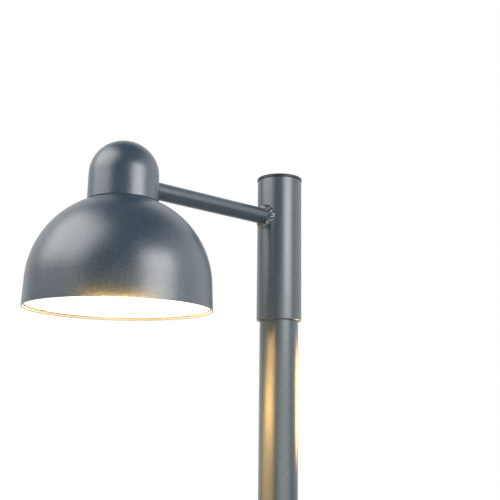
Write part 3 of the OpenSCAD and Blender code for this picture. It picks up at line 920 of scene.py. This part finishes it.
@dataclass(frozen=True)
class Softbox:
    """A lamp that is brightest in its middle and fades out to its edges.

    Args:
        name: name of the lamp.
        place: centre of the box.
        target: point that it faces.
        width: its width.
        height: its height.
        level: radiance of its middle, 1 for white paper.
        hex_code: colour of its light.
        fade: share of the way from edge to middle over which it fades, or 0 for an even face.
        face: shape of its face.
    """

    name: str
    place: tuple[float, float, float]
    target: tuple[float, float, float]
    width: float
    height: float
    level: float
    hex_code: str = WHITE
    fade: float = 0.7
    face: Face = Face.RECTANGLE

    def build(self) -> bpy.types.Object:
        """Adds the lamp to the scene.

        Returns:
            The lamp, unseen by the camera.
        """
        lamp = bpy.data.lights.new(self.name, "AREA")
        lamp.shape = self.face.value
        if self.face is Face.RECTANGLE:
            lamp.size, lamp.size_y = self.width, self.height
        else:
            lamp.size = self.width
        lamp.color = linear(self.hex_code)[:3]
        # A one-sided area lamp of radiance L gives pi * L watts for each square metre
        area = self.width * self.height * (1.0 if self.face is Face.RECTANGLE else math.pi / 4)
        lamp.energy = math.pi * self.level * area
        if self.fade:
            self.soften(lamp)
        box = bpy.data.objects.new(self.name, lamp)
        box.location = self.place
        box.rotation_euler = (Vector(self.target) - Vector(self.place)).to_track_quat("-Z", "Y").to_euler()
        box.visible_camera = False
        bpy.context.scene.collection.objects.link(box)
        return box

    def soften(self, lamp: bpy.types.AreaLight) -> None:
        """Lets the lamp's face fade out to its edges, as a softbox's cloth does.

        Args:
            lamp: the lamp.
        """
        lamp.use_nodes = True
        tree = lamp.node_tree
        tree.nodes.clear()
        spot = add_node(tree, "ShaderNodeSeparateXYZ", inputs={
            0: add_node(tree, "ShaderNodeNewGeometry").outputs["Parametric"],
        }).outputs
        known = {"across": spot["X"], "up": spot["Y"]}
        for name in ("across", "up"):
            work_out(tree, known, (
                ("centred", "MULTIPLY_ADD", name, 2.0, -1.0),
                ("from middle", "ABSOLUTE", "centred"),
            ))
            known[name + " share"] = add_node(tree, "ShaderNodeMapRange", {"interpolation_type": "SMOOTHSTEP"}, {
                "Value": known["from middle"], "From Min": 1.0, "From Max": 1.0 - self.fade,
            }).outputs["Result"]
        work_out(tree, known, (("strength", "MULTIPLY", "across share", "up share"),))
        glow = add_node(tree, "ShaderNodeEmission", inputs={"Strength": known["strength"]})
        add_node(tree, "ShaderNodeOutputLight", inputs={"Surface": glow.outputs[0]})


@dataclass(frozen=True)
class Panel:
    """A far studio panel with soft edges, painted in the world by its direction.

    Args:
        azimuth: direction of its centre, in degrees from +X round +Z.
        elevation: rise of its centre above the horizon, in degrees.
        half_width: half its width, in degrees of azimuth.
        half_height: half its height, in degrees.
        side_fade: how far its light fades out to either side of those half widths, in degrees.
        top_fade: the same above and below.
        level: radiance of its middle, 1 for white paper.
    """

    azimuth: float
    elevation: float
    half_width: float
    half_height: float
    side_fade: float
    top_fade: float
    level: float

    def paint(self, tree: Tree, azimuth: Socket, elevation: Socket, light: Socket) -> Socket:
        """Adds the panel to the light of the room.

        Args:
            tree: the world's tree.
            azimuth: azimuth of the ray, in radians.
            elevation: its elevation.
            light: light of the room so far.

        Returns:
            The light with this panel in it.
        """
        known = {"azimuth": azimuth, "elevation": elevation, "light": light}
        work_out(tree, known, (
            ("turn", "SUBTRACT", "azimuth", math.radians(self.azimuth)),
            ("wrapped", "WRAP", "turn", math.pi, -math.pi),
            ("aside", "ABSOLUTE", "wrapped"),
            ("rise", "SUBTRACT", "elevation", math.radians(self.elevation)),
            ("above", "ABSOLUTE", "rise"),
        ))
        for name, half, fade in (
            ("aside", self.half_width, self.side_fade), ("above", self.half_height, self.top_fade),
        ):
            known[name + " share"] = add_node(tree, "ShaderNodeMapRange", {"interpolation_type": "SMOOTHSTEP"}, {
                "Value": known[name], "From Min": math.radians(half + fade), "From Max": math.radians(half - fade),
            }).outputs["Result"]
        work_out(tree, known, (
            ("share", "MULTIPLY", "aside share", "above share"),
            ("sum", "MULTIPLY_ADD", "share", self.level, "light"),
        ))
        return known["sum"]


@dataclass
class Studio:
    """Camera, lamps, world and floor.

    Args:
        eye: place of the camera. It and the next four come from a fit to the photograph.
        yaw: turn of the camera's axis from +Y, in degrees.
        pitch: its rise above the horizon, in degrees.
        roll: its roll, in degrees.
        focal_px: focal length in pixels of the photograph.
        sensor_mm: width of the camera's sensor.
        floor_radius: radius of the floor.
        floor_fade: shares of that radius between which the floor fades into the backdrop.
        room_level: light that comes from all round.
        backdrop_level: light that the white backdrop adds to it.
        backdrop_edge: cosines of the angle to the camera's heading between which the backdrop fades in.
        panels: the soft panels round the lantern.
        lamps: the small lamps near it.
    """

    eye: tuple[float, float, float] = (-0.9314, -0.9285, 1.8672)
    yaw: float = -43.07
    pitch: float = 11.42
    roll: float = 0.69
    focal_px: float = 845.05
    sensor_mm: float = 36.0
    floor_radius: float = 4.0
    floor_fade: tuple[float, float] = (0.12, 0.6)
    room_level: float = 0.17
    backdrop_level: float = 0.38
    backdrop_edge: tuple[float, float] = (0.37, 0.56)
    panels: tuple[Panel, ...] = (
        Panel(azimuth=-30, elevation=20, half_width=30, half_height=25, side_fade=20, top_fade=20, level=1.13),
        Panel(azimuth=100, elevation=25, half_width=30, half_height=25, side_fade=20, top_fade=20, level=0.46),
        Panel(azimuth=-100, elevation=-5, half_width=35, half_height=8, side_fade=15, top_fade=8, level=2.86),
    )
    lamps: tuple[Softbox, ...] = (
        Softbox(
            name="right_softbox", place=(-0.048, -1.182, 2.470), target=LIT_POINT,
            width=1.28, height=0.92, level=5.69,
        ),
        Softbox(
            name="left_softbox", place=(-1.545, 0.542, 3.309), target=LIT_POINT,
            width=3.39, height=2.72, level=3.55,
        ),
    )

    def glow(self) -> tuple[Softbox, ...]:
        """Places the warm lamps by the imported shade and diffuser.

        Returns:
            The lamps that stand for the lantern's own light on its rim and post.
        """
        low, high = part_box("diffuser")
        x, y, width = (low.x + high.x) / 2, (low.y + high.y) / 2, high.x - low.x
        near = Vector((self.eye[0] - x, self.eye[1] - y, 0)).normalized()
        shade_low, shade_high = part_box("shade")
        rim, radius = shade_low.z, (shade_high.x - shade_low.x) / 2
        edge = Vector((x, y, rim)) + near * radius
        return (
            # Just under the diffuser, which looks white itself: its light on the rim and the post
            Softbox(
                name="diffuser_light", place=(x, y, low.z - 0.4 * MM), target=(x, y, 0),
                width=width, height=width, level=14.0, hex_code=WARM, fade=0, face=Face.DISK,
            ),
            # Under the shade, facing the post: the warm stripe down the post, bright above and weaker below
            Softbox(
                name="post_glow", place=(x, 0.045, 1.90), target=(0, 0, 1.90),
                width=0.42, height=0.15, level=12.0, hex_code=WARM,
            ),
            Softbox(
                name="post_glow_low", place=(x, 0.1, 1.79), target=(0, 0, 1.78),
                width=0.7, height=0.34, level=3.3, hex_code=WARM,
            ),
            # Beyond the post: the warm line on its right edge
            Softbox(
                name="edge_glow", place=(0.2, -0.03, 1.90), target=(0, 0, 1.89),
                width=0.1, height=0.24, level=22.0, hex_code=WARM,
            ),
            # Close under the near rim: the photograph's glow there, which is stray light in its lens
            Softbox(
                name="rim_glow",
                place=tuple(edge + near * 0.005 - Vector((0, 0, 0.003))), target=tuple(edge + Vector((0, 0, 0.003))),
                width=0.15, height=0.005, level=145.0, hex_code=AMBER,
            ),
        )

    def camera(self) -> None:
        """Makes the camera at the photograph's viewing angle."""
        yaw, pitch, roll = (math.radians(v) for v in (self.yaw, self.pitch, self.roll))
        ahead = Vector((-math.sin(yaw) * math.cos(pitch), math.cos(yaw) * math.cos(pitch), math.sin(pitch)))
        right = Vector((math.cos(yaw), math.sin(yaw), 0))
        above = right.cross(ahead)
        right, above = (
            right * math.cos(roll) + above * math.sin(roll),
            above * math.cos(roll) - right * math.sin(roll),
        )
        data = bpy.data.cameras.new("camera")
        data.sensor_width = self.sensor_mm
        data.lens = self.focal_px / FRAME_PX * data.sensor_width
        data.clip_end = 100.0
        camera = bpy.data.objects.new("camera", data)
        camera.matrix_world = Matrix.Translation(self.eye) @ Matrix((right, above, -ahead)).transposed().to_4x4()
        bpy.context.scene.collection.objects.link(camera)
        bpy.context.scene.camera = camera

    def world(self) -> None:
        """Makes a backdrop that the camera sees as plain white, and soft panels round a dark room."""
        world = bpy.data.worlds.new("studio")
        world.use_nodes = True
        tree = world.node_tree
        tree.nodes.clear()
        toward = add_node(tree, "ShaderNodeTexCoord").outputs["Generated"]
        yaw = math.radians(self.yaw)
        ahead = add_node(tree, "ShaderNodeVectorMath", {"operation": "DOT_PRODUCT"}, {
            0: toward, 1: (-math.sin(yaw), math.cos(yaw), 0.0),
        }).outputs["Value"]
        backdrop = add_node(tree, "ShaderNodeMapRange", {"interpolation_type": "SMOOTHSTEP"}, {
            "Value": ahead, "From Min": self.backdrop_edge[0], "From Max": self.backdrop_edge[1],
        }).outputs["Result"]
        axes = add_node(tree, "ShaderNodeSeparateXYZ", inputs={0: toward}).outputs
        rays = add_node(tree, "ShaderNodeLightPath").outputs
        known = {
            "x": axes["X"], "y": axes["Y"], "z": axes["Z"], "backdrop": backdrop,
            "camera": rays["Is Camera Ray"], "glossy": rays["Is Glossy Ray"], "through": rays["Is Transmission Ray"],
        }
        work_out(tree, known, (
            ("azimuth", "ARCTAN2", "y", "x"),
            ("elevation", "ARCSINE", "z"),
            ("light", "MULTIPLY_ADD", "backdrop", self.backdrop_level, self.room_level),
        ))
        for panel in self.panels:
            known["light"] = panel.paint(tree, known["azimuth"], known["elevation"], known["light"])
        # Gloss and clear plastic show the white backdrop where it stands, as the camera does all round
        work_out(tree, known, (
            ("mirror", "MAXIMUM", "glossy", "through"),
            ("mirrored", "MULTIPLY", "mirror", "backdrop"),
            ("white", "MAXIMUM", "camera", "mirrored"),
            ("level", "MAXIMUM", "white", "light"),
        ))
        light = add_node(tree, "ShaderNodeBackground", inputs={
            "Color": linear(WHITE), "Strength": known["level"],
        })
        add_node(tree, "ShaderNodeOutputWorld", inputs={"Surface": light.outputs[0]})
        bpy.context.scene.world = world

    def floor(self) -> None:
        """Lays a plain pale disc that fades into the white backdrop."""
        shape = bmesh.new()
        bmesh.ops.create_circle(shape, cap_ends=True, segments=96, radius=self.floor_radius)
        mesh = bpy.data.meshes.new("floor")
        shape.to_mesh(mesh)
        shape.free()
        material = bpy.data.materials.new("pale_floor")
        material.use_nodes = True
        tree = material.node_tree
        tree.nodes.clear()
        place = add_node(tree, "ShaderNodeTexCoord").outputs["Object"]
        rays = add_node(tree, "ShaderNodeLightPath").outputs
        reach = add_node(tree, "ShaderNodeVectorMath", {"operation": "LENGTH"}, {0: place}).outputs["Value"]
        start, end = (share * self.floor_radius for share in self.floor_fade)
        fade = add_node(tree, "ShaderNodeMapRange", {"interpolation_type": "SMOOTHSTEP"}, {
            "Value": reach, "From Min": start, "From Max": end,
        }).outputs["Result"]
        seen = add_node(tree, "ShaderNodeMath", {"operation": "MULTIPLY"}, {
            0: rays["Is Camera Ray"], 1: fade,
        }).outputs[0]
        paint = add_node(tree, "ShaderNodeBsdfDiffuse", inputs={"Color": linear("#e8e8e6")})
        white = add_node(tree, "ShaderNodeEmission", inputs={"Color": linear(WHITE), "Strength": 1.0})
        mixed = add_node(tree, "ShaderNodeMixShader", inputs={0: seen, 1: paint.outputs[0], 2: white.outputs[0]})
        add_node(tree, "ShaderNodeOutputMaterial", inputs={"Surface": mixed.outputs[0]})
        mesh.materials.append(material)
        disc = bpy.data.objects.new("floor", mesh)
        bpy.context.scene.collection.objects.link(disc)

    def build(self) -> None:
        """Sets up the camera, the light and the floor."""
        self.camera()
        self.world()
        self.floor()
        for lamp in self.lamps + self.glow():
            LOG.info("lit %s", lamp.build().name)
        bpy.context.scene.view_settings.view_transform = "Standard"


def main() -> None:
    """Builds the studio and the lantern."""
    logging.basicConfig(level=logging.INFO, format="%(name)s: %(message)s")
    Studio().build()

    board_low, board_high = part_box("led_board")
    board_centre = tuple((board_low + board_high) / 2)
    # Fine-textured polyester powder coat, baked: a deep blue-grey satin whose grain breaks up every highlight.
    # Its IOR is matched to the photograph, above the 1.55 or so that polyester has
    coat = PowderCoat("powder_coat_fine_texture", "#273a47", roughness=0.32, ior=1.9)
    # The same coat over the weld: glossier and uneven, and paler as a painted highlight, so that single ripples
    # glint
    weld_coat_painted_glint = PowderCoat(
        "powder_coat_over_weld_painted_glint", "#37454e", roughness=0.26, ior=1.9, deep="#1c2932", light="#4c575d",
        grain_mm=3.0, grain_depth_mm=0.03, peel_depth_mm=0.02,
    )
    # Zinc-plated, clear-passivated steel: cool bright metal with cloudy patches
    zinc = ZincPlate("zinc_plated_steel", "#c3c6c8", roughness=0.3, metallic=1.0)
    # Moulded EPDM: dull near-black that swallows the light in the arm's mouth
    rubber = Elastomer("moulded_epdm_rubber", "#1b1c1d", roughness=0.75, ior=1.52)
    # Moulded silicone in a pale grey that is painted light: it keeps the shaded seam under the housing pale, as a
    # fine even line
    seal = Elastomer("grey_silicone_painted_pale", "#8d9aa3", roughness=0.6, ior=1.41, bloom="#9aa6ae")
    # Injection-moulded polypropylene: warm black with a soft sheen and flow marks
    cap = MouldedPlastic("moulded_black_polypropylene", "#2a2725", roughness=0.4, ior=1.49)
    # Aluminium plate, faced on a lathe: rings of tool marks that fan the light out
    plate = TurnedAluminium("turned_aluminium", "#c9cccd", roughness=0.35, metallic=1.0, centre=board_centre)
    # Sprayed white reflector paint: matt, warm white that spreads the light without a mirror image
    white_paint = SprayedWhite("white_reflector_paint", "#f1efe8", roughness=0.6, ior=1.5)
    # White solder mask on an aluminium-core board: smooth white with the tracks as low creamy rings
    board = SolderMask("white_solder_mask", "#f3f1ea", roughness=0.35, ior=1.55, centre=board_centre)
    # Phosphor in silicone, lit: grainy yellow that gives warm light
    chips = Luminous("lit_phosphor", "#f0cf62", roughness=0.5, ior=1.41, glow="#ffd99a", strength=8.0,
                     cloud="#e8bf48", cloud_mm=0.6, lights_others=False)
    # Moulded white polyester: clean, cool white of small power supplies
    case = MouldedPlastic("moulded_white_polyester", "#e8e8e4", roughness=0.42, ior=1.57, streak="#dcdcd8")
    # Closed-cell foam: chalky white with open pits at its cut edge
    foam = Elastomer("closed_cell_foam", "#ecebe6", roughness=0.85, ior=1.5, bloom="#dddcd5", cell_mm=1.0)
    # Opal acrylic, lit from behind: an even white face with no sight of the light source
    opal = Luminous("opal_acrylic_lit", "#f5f1e6", roughness=0.35, ior=1.49, glow="#fff6ea", strength=0.95,
                    cloud="#efe9da", cloud_mm=40.0)
    PostAndFoot(coat=coat, weld_coat_painted_glint=weld_coat_painted_glint).build()
    SleeveAndArm(coat=coat, weld_coat_painted_glint=weld_coat_painted_glint, cap=cap, rubber=rubber, zinc=zinc).build()
    LampHead(
        coat=coat, rubber=seal, zinc=zinc, plate=plate, white_paint=white_paint, board=board, chips=chips,
        case=case, foam=foam, opal=opal,
    ).build()


if __name__ == "__main__":
    main()
